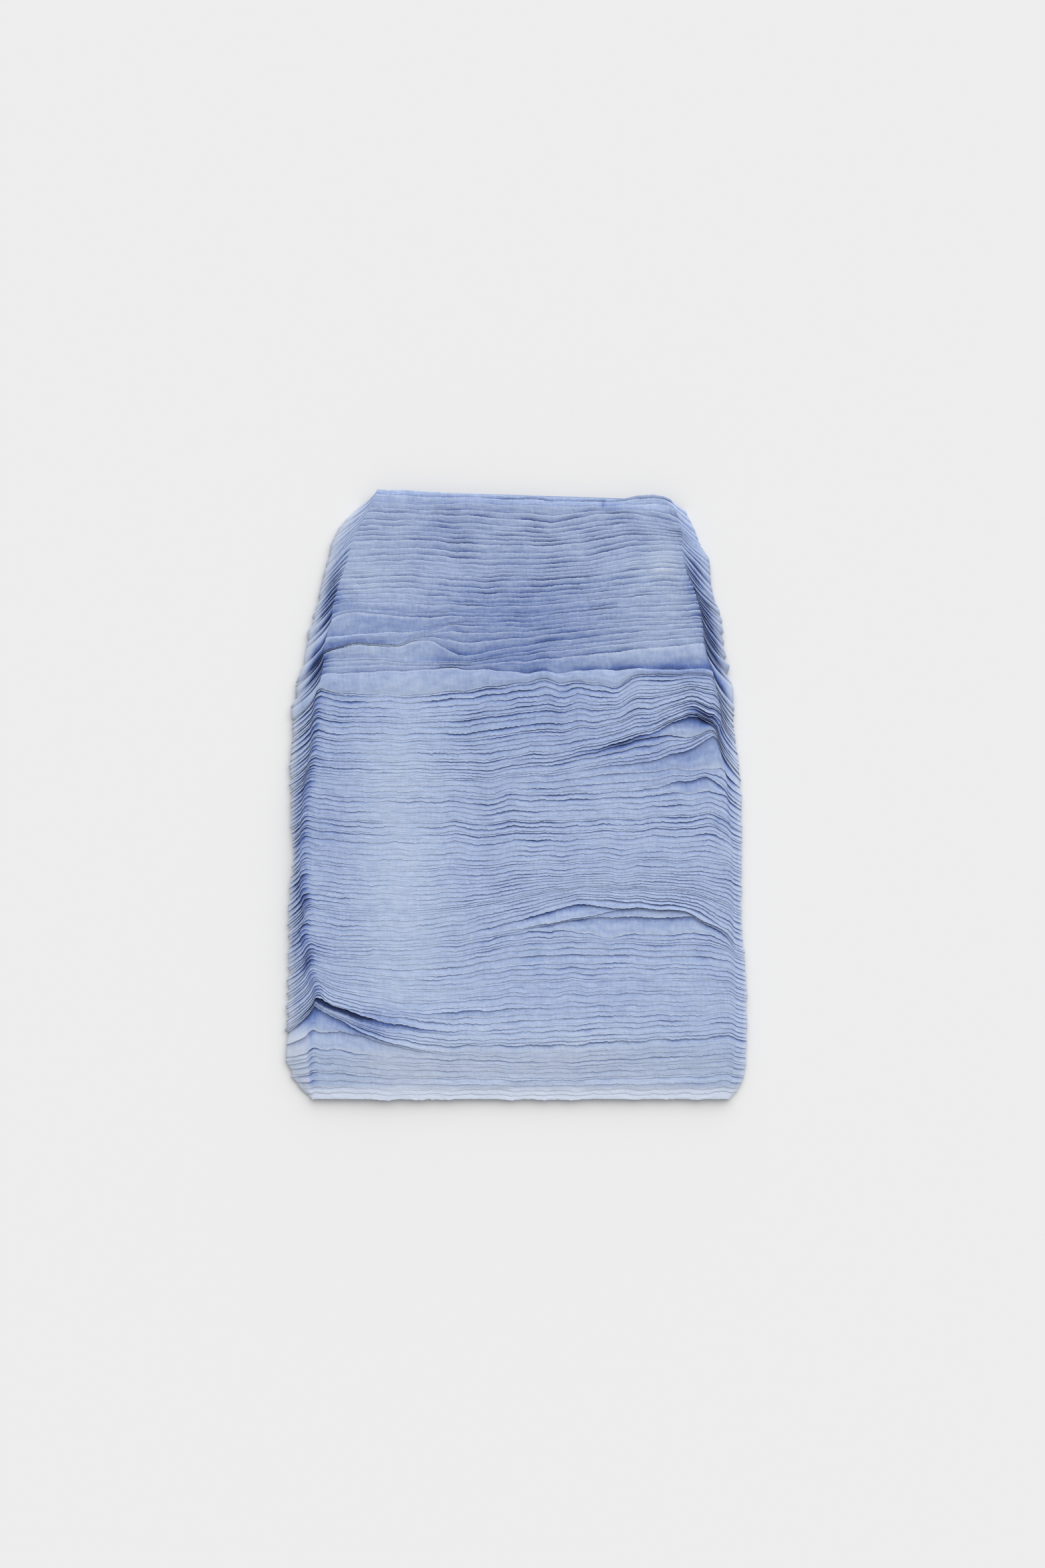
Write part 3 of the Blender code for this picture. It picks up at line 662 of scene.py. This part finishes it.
class Rows:
    """Every free edge from the waist to the hem, in columns: its pixels, its height and the step under it."""

    def __init__(self, generator):
        self.flank = np.concatenate((-np.array(FLANK_SHARES[::-1]), np.zeros(PLATEAU_COLUMNS), FLANK_SHARES))
        self.place_plateau(generator)
        self.add_flanks(generator)
        self.add_heights(generator)
        self.add_steps(generator)

    def place_plateau(self, generator):
        """Places the columns of the flat front, between the two ridges."""
        positions = row_positions(generator)
        ends = np.tile(RIDGE_GUESS, (len(positions), 1))
        for _ in range(RIDGE_ROUNDS):
            at_ends = between_guides(positions, ends)
            ends = np.stack((curve(LEFT_RIDGE, at_ends[:, 0]), curve(RIGHT_RIDGE, at_ends[:, 1])), axis=1)
        left, right = ends[:, :1], ends[:, 1:]
        x = left + (right - left) * np.linspace(0.0, 1.0, PLATEAU_COLUMNS)[None, :]
        y = between_guides(positions, x)
        below_turn = ease(y, HUMPS_BELOW_TURN)
        calm = np.clip(np.gradient(y, axis=0) / FULL_PITCH, *CALM_LIMITS) * (0.6 + 0.4 * below_turn)
        waves = wave_growth(x, y) * sum(wave.height * np.sin(wave_phase(wave, x, y)) for wave in WAVES)
        inward = np.minimum(x - left, right - x)
        right_humps = 0.3 + 0.9 * ease(y, RIGHT_HUMPS_ABOVE)
        strength = np.where(x - left < right - x, 1.0, right_humps) * below_turn * ease(y, HUMPS_ABOVE_HEM)
        bump = RIDGE_BUMP_HEIGHT * hill(inward, RIDGE_BUMP)
        hump = (bump + RIDGE_FALL_HEIGHT * np.exp(-inward / RIDGE_FALL_LENGTH)) * strength
        for noise in (SLOW_NOISE, FINE_NOISE):
            y = y + noise.height * calm * row_noise(generator, x, noise)
        turn_strength = 0.4 * ease(y, TURN_DOWN_BELOW) + 0.6 * strength
        turn_down = TURN_DOWN_HEIGHT * np.exp(-inward / TURN_DOWN_LENGTH) * turn_strength
        y = y + waves + troughs_at(x, y)[1] - hump + turn_down
        y[-1] = np.maximum(y[-1], HEM_PIXEL_Y + HEM_OVERHANG)
        self.x = x
        self.y = keep_order(y, FRONT_ROW_GAP)

    def add_flanks(self, generator):
        """Adds the columns that run down over the side folds to the outline."""
        shares = np.array(FLANK_SHARES)[None, :]
        sides = []
        for end, outer, slopes, bends, rags in (
            (0, LEFT_OUTER, LEFT_SLOPES, LEFT_BENDS, LEFT_RAGS),
            (-1, RIGHT_OUTER, RIGHT_SLOPES, RIGHT_BENDS, RIGHT_RAGS),
        ):
            start_x = self.x[:, end][:, None]
            start_y = self.y[:, end][:, None]
            width = np.abs(curve(outer, start_y + TIP_LAG) - start_x)
            slope = curve(slopes, start_y) * generator.uniform(*SLOPE_LIMITS, start_y.shape)
            fall = slope * width * shares ** curve(bends, start_y)
            y = keep_order(np.minimum(start_y + fall, HEM_PIXEL_Y + TIP_OVERHANG), FLANK_ROW_GAP)
            outward = -1.0 if end == 0 else 1.0
            chance = np.clip(generator.normal(0.0, 1.0, start_y.shape), *RAG_LIMITS)
            reach = chance * curve(rags, y) * shares**2
            x = start_x + (curve(outer, y) + outward * reach - start_x) * shares
            sides.append((x, y))
        (left_x, left_y), (right_x, right_y) = sides
        self.x = np.concatenate((left_x[:, ::-1], self.x, right_x), axis=1)
        self.y = np.concatenate((left_y[:, ::-1], self.y, right_y), axis=1)

    def open_mouths(self):
        """How far each edge stands off at the mouths, in millimetres, and the painted shade inside them."""
        lift = np.zeros_like(self.y)
        slit = np.zeros_like(self.y)
        rows = np.arange(len(self.y))[:, None]
        for mouth in MOUTHS:
            towards_cover = rows - mouth.row if mouth.row <= TURN_TOP_ROW else mouth.row - rows
            fade = np.where(towards_cover >= 0, np.exp(-np.maximum(towards_cover, 0) / mouth.fade), 0.0)
            reach = bell(self.x - mouth.x, mouth.width)
            lift = np.maximum(lift, mouth.lift * fade * reach)
            slit[mouth.row] = np.maximum(slit[mouth.row], mouth.slit * reach[mouth.row])
        return lift, slit

    def add_heights(self, generator):
        """Adds the height of every point and the direction in which the strips' steps go down."""
        share = np.abs(self.flank)[None, :]
        swings = sum(wave.swing * np.cos(wave_phase(wave, self.x, self.y)) for wave in WAVES)
        swing = wave_growth(self.x, self.y) * swings
        unrest = HEIGHT_NOISE.height * row_noise(generator, self.x, HEIGHT_NOISE)
        self.lift, self.slit = (values * (1.0 - share) for values in self.open_mouths())
        plateau = pile_height(self.x, self.y) + swing + unrest + self.lift - troughs_at(self.x, self.y)[0]
        over_panel = (PANEL_TOP + PANEL_CLEARANCE) * ease(self.y, OVER_PANEL)
        plateau = np.maximum(plateau, over_panel)
        self.z = TIP_HEIGHT + (plateau - TIP_HEIGHT) * (1.0 - (1.0 - TIP_REST) * share**2.0)
        angle = math.radians(TIP_TILT) * share**1.4
        self.normal_x = (np.sign(self.flank)[None, :] * np.sin(angle))[0]
        self.normal_z = np.cos(angle)[0]

    def usual_step(self, below_turn):
        """How far the strips dip under their covers before chance, in millimetres."""
        lively = 0.55 + 0.45 * ease(self.x, LIVELY_ACROSS)
        upper = UPPER_STEP * lively
        busy = spots_at(BUSY_PLACES, self.x, self.y)
        lower = LOWER_STEP + EYE_STEP * hill(self.y, EYE_DOWN) * lively + busy
        return upper + (lower - upper) * below_turn

    def add_steps(self, generator):
        """Adds how far the strips dip under their covers, how they gape at the sides, and their painted
        shades.
        """
        share = np.abs(self.flank)[None, :]
        below_turn = ease(self.y, STEPS_BELOW_TURN)
        calm_band = 1.0 - 0.55 * hill(self.x, CALM_BAND) * below_turn
        near_ridge = hill(self.x - curve(LEFT_RIDGE, self.y), NEAR_LEFT_RIDGE) * below_turn
        strong = generator.lognormal(0.0, STEP_SPREAD, (len(self.y), 1))
        uneven = np.exp(STEP_NOISE.height * row_noise(generator, self.x, STEP_NOISE)) * strong
        gape = np.where(self.flank < 0.0, curve(LEFT_GAPES, self.y), curve(RIGHT_GAPES, self.y))
        crease = curve(RIGHT_CREASE_SHADE, self.y) * hill(self.x - curve(RIGHT_RIDGE, self.y), NEAR_RIGHT_RIDGE)
        slits = np.clip(generator.lognormal(0.0, SLIT_SPREAD, (len(self.y), 1)), *SLIT_LIMITS)
        # The gape also paints shade in the side folds, and the ridge shade paints shade at the left ridge,
        # along the right ridge and in the creases
        self.gape = gape * hill(share, GAPE_PLACE) * (share > 0.0) * (0.45 + 0.55 * slits)
        self.ridge_shade = LEFT_RIDGE_SHADE * near_ridge * slits + crease + spots_at(CREASE_SHADES, self.x, self.y)
        # Painted shade on the strips turned over the sides, more on the left, which turns from the light,
        # with their free ends painted lighter
        self.turned = smooth(share[0] / TURNED_FROM) * np.where(self.flank < 0.0, *TURNED_SHADES)
        front_step = self.usual_step(below_turn) * calm_band * (1.0 + 1.3 * near_ridge)
        front_step = front_step * np.clip(uneven, *STEP_LIMITS)
        smooth_corner = 0.35 + 0.65 * ease(self.y, SMOOTH_CORNER_END)
        turned_step = np.clip(front_step, *TURNED_STEP_LIMITS) * (0.75 + self.gape) * smooth_corner
        self.step = np.where(share > 0.0, turned_step, front_step)
        self.grain = generator.normal(0.0, EDGE_GRAIN, self.y.shape)


def covered_step(rows, own, covering):
    """How far a strip dips under its cover, in millimetres, and how wide it shows, from 0 to 1."""
    first = own + covering
    wide = np.clip((np.abs(rows.y[first] - rows.y[own]) - WIDE_FROM) / WIDE_SPAN, 0.0, 1.0)
    room = np.maximum(rows.z[first] - PANEL_TOP, PANEL_CLEARANCE)
    step = rows.step[own] + LIFT_STEP * rows.lift[first] + wide
    return np.where(rows.flank == 0.0, np.minimum(step, room), step), wide


def strip_shade(rows, own, first, share):
    """Painted shade on one line of a strip: deeper the nearer it is to the row that covers it."""
    inside = min(1.0, share)
    under = inside**3 * np.clip(rows.step[own] / FULL_SHADE_STEP, *UNDER_LIMITS)
    mouth = LIFT_SHADE * rows.lift[first] * inside**1.5 + rows.slit[first] * inside**0.5
    folds = (GAPE_SHADE * rows.gape[own] + CREASE_SHADE * rows.ridge_shade[own]) * (0.35 + 0.65 * inside)
    turned = rows.turned * (TURNED_IN * inside**2 - TURNED_OUT)
    return UNDER_SHADE * under + mouth + folds + turned


def strip_front(rows, own, covering):
    """One strip's front: its points in millimetres, how near they are to the free edge, and its painted
    shade.
    """
    first = own + covering
    second = own + 2 * covering
    step, wide = covered_step(rows, own, covering)
    tail = TAIL_SHARE * covered_step(rows, first, covering)[0] + TAIL_DIP
    points = []
    edges = []
    painted_shades = []
    for share, dip in zip(DEPTH_SHARES, DEPTH_DIPS):
        low, high, part = (own, first, share) if share <= 1.0 else (first, second, share - 1.0)
        x, y, z = (grid[low] + (grid[high] - grid[low]) * part for grid in (rows.x, rows.y, rows.z))
        sink = dip * step if share <= 1.0 else tail
        crumple = np.sin(x / CRUMPLE_LENGTH + CRUMPLE_SWAY * np.sin(x / CRUMPLE_SWAY_LENGTH))
        fold = CRUMPLE_HEIGHT * wide * crumple * math.sin(math.pi * min(share, 1.0))
        out = fold - sink
        ragged = rows.grain[own] if share == 0.0 else 0.0
        height = np.maximum(z + rows.normal_z * out, FLOOR_GAP)
        points.append(np.stack((world_x(x) + rows.normal_x * out, world_y(y) + ragged, height), axis=1))
        edges.append(np.full(x.shape, max(0.0, 1.0 - share / RAW_EDGE)))
        painted_shades.append(strip_shade(rows, own, first, share))
    return np.array(points), np.array(edges), np.array(painted_shades)


def band_front(rows):
    """The turn band's front, in the same three values as a strip's."""
    points = []
    edges = []
    low, high = TURN_BOTTOM_ROW, TURN_TOP_ROW
    for share, swell in BAND_SWELLS:
        x, y, z = (grid[low] + (grid[high] - grid[low]) * share for grid in (rows.x, rows.y, rows.z))
        height = np.maximum(z + rows.normal_z * swell, FLOOR_GAP)
        points.append(np.stack((world_x(x) + rows.normal_x * swell, world_y(y), height), axis=1))
        edges.append(np.full(x.shape, 1.0 if share in (0.0, 1.0) else 0.0))
    return np.array(points), np.array(edges), np.zeros((len(points), len(rows.flank)))


def strip_back(rows, front):
    """Continues a strip round the back, from its right end to its left end, flat on the surface."""
    ridge_left = len(FLANK_SHARES)
    ridge_right = len(rows.flank) - len(FLANK_SHARES) - 1
    insets = np.array(BACK_INSETS[:-1])
    lines = []
    for points, level in zip(front, BACK_LEVELS):
        left, right = points[0], points[-1]
        width = right[0] - left[0]
        inner = np.linspace(BACK_INSETS[-1], width - BACK_INSETS[-1], BACK_COLUMNS)
        place = np.concatenate((insets, inner, width - insets[::-1]))
        share = place / width
        rise_right = points[ridge_right][1] - right[1]
        rise_left = points[ridge_left][1] - left[1]
        rise = rise_right * (1.0 - share) + rise_left * share
        risen = smooth(np.minimum(place, width - place) / BACK_RISE)
        y = right[1] + (left[1] - right[1]) * share + rise * risen
        lines.append(np.stack((right[0] - place, y, np.full(place.shape, FLOOR_GAP + level)), axis=1))
    return np.array(lines)


def light_shade_and_mark_at(x, y):
    """Broad painted light and shade at a pixel, with the small dark mark in the waist edge."""
    across = ease(x, PATCH_LEFT) * ease(x, PATCH_RIGHT)
    down = ease(y, PATCH_TOP) * ease(y, PATCH_BOTTOM)
    stroke = STROKE_STRENGTH * hill(x, STROKE_ACROSS) * ease(y, STROKE_TOP) * ease(y, STROKE_BOTTOM)
    return spots_at(LIGHT_AND_SHADE_PATCHES, x, y) + MARK_TONE * np.maximum(across * down, stroke)


def paleness_at(x, y, flank):
    """How pale the cloth is painted at a pixel: thin single cloth over the pale surface, and painted light on
    tips, hem and corner that face away from the light.
    """
    hem = ease(y, PALE_HEM)
    right_tips = 0.10 + 0.40 * ease(y, PALE_RIGHT_TIPS)
    tips = ease(np.abs(flank), PALE_TIPS) * np.where(flank < 0.0, 0.75, right_tips)
    low_corner = ease(x, PALE_CORNER_ACROSS) * ease(y, PALE_CORNER_DOWN)
    return np.clip(0.9 * hem + tips * (1.0 - 0.5 * low_corner) + 0.45 * low_corner, 0.0, 1.0)


def strip_grid(rows, own):
    """One strip's closed grid of points with its four shade values, facing out."""
    if own == TURN_BOTTOM_ROW:
        front, edge, depth = band_front(rows)
    else:
        front, edge, depth = strip_front(rows, own, 1 if own < TURN_TOP_ROW else -1)
    back = strip_back(rows, front)
    x = front[..., 0] / MM_PER_PIXEL + ORIGIN_PIXEL_X
    y = ORIGIN_PIXEL_Y - front[..., 1] / MM_PER_PIXEL
    unshaded = np.zeros(back.shape[:2])
    direction = 1.0 if own < TURN_TOP_ROW else -1.0
    course = (own + direction * np.array(DEPTH_SHARES)[:, None]) * COURSE_PITCH * MM + np.zeros(x.shape)
    shades = []
    # The tone carries the broad painted light and shade, with the waist mark, less each strip's painted shade
    # under its cover
    for shade in (edge, light_shade_and_mark_at(x, y) - depth, paleness_at(x, y, rows.flank[None, :]), course):
        shades.append(np.concatenate((shade, unshaded), axis=1))
    grid = np.concatenate((front, back), axis=1)
    if own < TURN_TOP_ROW:
        grid = grid[:, ::-1]
        shades = [shade[:, ::-1] for shade in shades]
    return grid, shades


def make_mesh(name, grids, material):
    """One mesh of all the strips' grids, each closed round the skirt."""
    vertices = np.concatenate([grid.reshape(-1, 3) for grid, _ in grids]) * MM
    faces = []
    start = 0
    for grid, _ in grids:
        depth, columns = grid.shape[:2]
        corner = start + np.arange(depth * columns).reshape(depth, columns)
        turned = np.roll(corner, -1, axis=1)
        faces.append(np.stack((corner[:-1], turned[:-1], turned[1:], corner[1:]), axis=-1).reshape(-1, 4))
        start += depth * columns
    mesh = bpy.data.meshes.new(name)
    mesh.from_pydata(vertices.tolist(), [], np.concatenate(faces).tolist())
    mesh.polygons.foreach_set("use_smooth", [True] * len(mesh.polygons))
    for number, key in enumerate(("edge", "tone", "pale", "course")):
        attribute = mesh.attributes.new(key, "FLOAT", "POINT")
        values = np.concatenate([shades[number].reshape(-1) for _, shades in grids])
        attribute.data.foreach_set("value", values.astype(np.float32))
    mesh.materials.append(material)
    mesh.update()
    return mesh


def make_tier(rows, name, owns, material):
    """One tier's cloth, with the front and back CAD nodes of that tier replaced."""
    grids = [strip_grid(rows, own) for own in owns]
    mesh = make_mesh(f"{name}_cloth", grids, material)
    piece = bpy.data.objects.new(f"{name}_cloth", mesh)
    bpy.context.scene.collection.objects.link(piece)
    group, _, number = name.partition("_tier")
    nodes = ("turn_band_front", "turn_band_back") if name == "turn_band" else (
        f"{group}_front{number}", f"{group}_back{number}",
    )
    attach(piece, "root")
    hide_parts(*nodes)


class Shading:
    """Small helper that adds and links nodes of one material."""

    def __init__(self, name, surface):
        self.material = bpy.data.materials.new(name)
        self.material.use_nodes = True
        self.tree = self.material.node_tree
        self.shader = self.tree.nodes["Principled BSDF"]
        self.place = self.tree.nodes.new("ShaderNodeTexCoord").outputs["Object"]
        for key, value in surface.items():
            self.shader.inputs[key].default_value = value

    def feed(self, socket, value):
        """Sets a socket to a plain value, or links it."""
        if isinstance(value, (int, float, tuple)):
            socket.default_value = value
        else:
            self.tree.links.new(value, socket)

    def along_rows(self):
        """Place on the cloth whose second part counts across the strips."""
        split = self.tree.nodes.new("ShaderNodeSeparateXYZ")
        self.feed(split.inputs[0], self.place)
        join = self.tree.nodes.new("ShaderNodeCombineXYZ")
        self.feed(join.inputs[0], split.outputs[0])
        self.feed(join.inputs[1], self.attribute("course"))
        return join.outputs[0]

    def noise(self, texture, place=None):
        """A texture's noise, around 0.5."""
        mapping = self.tree.nodes.new("ShaderNodeMapping")
        mapping.inputs["Scale"].default_value = texture.stretch
        self.feed(mapping.inputs["Vector"], place or self.place)
        node = self.tree.nodes.new("ShaderNodeTexNoise")
        node.inputs["Scale"].default_value = texture.scale
        node.inputs["Detail"].default_value = texture.detail
        self.feed(node.inputs["Vector"], mapping.outputs["Vector"])
        return node.outputs["Fac"]

    def attribute(self, key):
        node = self.tree.nodes.new("ShaderNodeAttribute")
        node.attribute_name = key
        return node.outputs["Fac"]

    def maths(self, operation, first, second):
        node = self.tree.nodes.new("ShaderNodeMath")
        node.operation = operation
        self.feed(node.inputs[0], first)
        self.feed(node.inputs[1], second)
        return node.outputs["Value"]

    def scaled(self, value, strength):
        """Noise around 0.5 turned into noise around 0."""
        return self.maths("MULTIPLY", self.maths("SUBTRACT", value, 0.5), strength)

    def mix(self, factor, first, second):
        """Blend of two colours. The node's colour sockets are 6 and 7, and its colour result is 2."""
        node = self.tree.nodes.new("ShaderNodeMix")
        node.data_type = "RGBA"
        self.feed(node.inputs[0], factor)
        self.feed(node.inputs[6], first)
        self.feed(node.inputs[7], second)
        return node.outputs[2]

    def bump(self, height, relief, normal=None):
        """Adds a relief to a normal."""
        node = self.tree.nodes.new("ShaderNodeBump")
        strength, distance = relief
        node.inputs["Strength"].default_value = strength
        node.inputs["Distance"].default_value = distance
        self.feed(node.inputs["Height"], height)
        if normal is not None:
            self.feed(node.inputs["Normal"], normal)
        return node.outputs["Normal"]


def cloth_colour(shading, core, deep, tone):
    """Thin crinkled cloth: uneven colour, a fine weave and crinkles, with painted shade in the valleys of the
    crinkles and streaks.

    Tone runs from navy (-2) over deep (-1) and the core (0) to pale (1). Navy and much of deep are painted
    shade.
    """
    patches, weave, crinkle = (shading.noise(texture) for texture in (PATCHES, WEAVE, CRINKLE))
    streaks = shading.noise(STREAKS, shading.along_rows())
    for texture, noise in ((PATCHES, patches), (STREAKS, streaks), (CRINKLE, crinkle), (WEAVE, weave)):
        tone = shading.maths("ADD", tone, shading.scaled(noise, texture.tone))
    darkness = shading.maths("MULTIPLY", tone, -1.0)
    colour = shading.mix(darkness, core, deep)
    colour = shading.mix(shading.maths("SUBTRACT", darkness, 1.0), colour, STRIP_DEEPEST_SHADE)
    colour = shading.mix(tone, colour, STRIP_PALE)
    normal = shading.bump(crinkle, CRINKLE_RELIEF)
    normal = shading.bump(streaks, STREAK_RELIEF, normal)
    shading.feed(shading.shader.inputs["Normal"], shading.bump(weave, WEAVE_RELIEF, normal))
    return colour


def strip_material():
    """The strips' cloth, paler on raw edges, and painted pale where it lies single over the surface and where
    it faces away from the light.
    """
    shading = Shading("strips", CLOTH_SURFACE)
    colour = cloth_colour(shading, STRIP_CORE, STRIP_DEEP, shading.attribute("tone"))
    fray = shading.maths("MULTIPLY", shading.noise(FRAY), FRAY.tone)
    colour = shading.mix(shading.maths("MULTIPLY", shading.attribute("edge"), fray), colour, STRIP_PALE)
    colour = shading.mix(shading.attribute("pale"), colour, STRIP_PALE)
    shading.feed(shading.shader.inputs["Base Color"], colour)
    return shading.material


def panel_material():
    shading = Shading("foundation", CLOTH_SURFACE)
    colour = cloth_colour(shading, PANEL_CORE, PANEL_DEEP, 0.0)
    shading.feed(shading.shader.inputs["Base Color"], colour)
    return shading.material


def make_floor():
    bpy.ops.mesh.primitive_plane_add(size=FLOOR_SIZE, location=(0.0, 0.0, FLOOR_Z))
    floor = bpy.context.object
    floor.name = "pale_floor"
    floor.data.materials.append(Shading("pale_surface", FLOOR_SURFACE).material)


def make_light():
    """One wide soft source, far away, so that the surface is lit evenly."""
    data = bpy.data.lights.new("window", "SUN")
    data.energy = KEY_STRENGTH
    data.angle = math.radians(KEY_ANGLE)
    lamp = bpy.data.objects.new("window", data)
    lamp.rotation_euler = Vector(KEY_DIRECTION).to_track_quat("Z", "Y").to_euler()
    bpy.context.scene.collection.objects.link(lamp)


def make_world():
    world = bpy.data.worlds.new("studio")
    bpy.context.scene.world = world
    world.use_nodes = True
    background = world.node_tree.nodes["Background"]
    background.inputs["Color"].default_value = (1.0, 1.0, 1.0, 1.0)
    background.inputs["Strength"].default_value = WORLD_STRENGTH


def make_camera():
    """Looks straight down. The picture's frame fits at the height of the skirt's top."""
    data = bpy.data.cameras.new("camera")
    data.sensor_width = SENSOR_WIDTH
    data.lens = data.sensor_width * (CAMERA_HEIGHT - SKIRT_TOP) / (PICTURE_HEIGHT * MM_PER_PIXEL * MM)
    camera = bpy.data.objects.new("camera", data)
    camera.location = (world_x(PICTURE_WIDTH / 2.0) * MM, world_y(PICTURE_HEIGHT / 2.0) * MM, CAMERA_HEIGHT)
    bpy.context.scene.collection.objects.link(camera)
    bpy.context.scene.camera = camera


def make_cloth():
    rows = Rows(np.random.default_rng(SEED))
    strips = strip_material()
    upper = np.array_split(np.arange(0, TURN_TOP_ROW), UPPER_TIERS)
    lower = np.array_split(np.arange(TURN_BOTTOM_ROW + 1, LAST_ROW + 1), LOWER_TIERS)
    for number, owns in enumerate(upper, start=1):
        make_tier(rows, f"upper_tier_{number}", owns, strips)
    make_tier(rows, "turn_band", [TURN_BOTTOM_ROW], strips)
    for number, owns in enumerate(lower, start=1):
        make_tier(rows, f"lower_tier_{number}", owns, strips)


def dress_panels(nodes):
    panels = panel_material()
    for name in ("base_front", "base_back"):
        nodes[name].data.materials.clear()
        nodes[name].data.materials.append(panels)


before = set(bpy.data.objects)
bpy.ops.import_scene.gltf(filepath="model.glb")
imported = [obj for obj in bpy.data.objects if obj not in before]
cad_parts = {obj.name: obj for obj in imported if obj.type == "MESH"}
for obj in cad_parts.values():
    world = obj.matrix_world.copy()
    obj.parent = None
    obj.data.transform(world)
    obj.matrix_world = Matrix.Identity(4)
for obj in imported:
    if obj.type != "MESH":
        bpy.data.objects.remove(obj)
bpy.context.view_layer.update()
make_cloth()
dress_panels(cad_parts)
make_floor()
make_world()
make_light()
make_camera()
bpy.context.scene.view_settings.view_transform = "Standard"
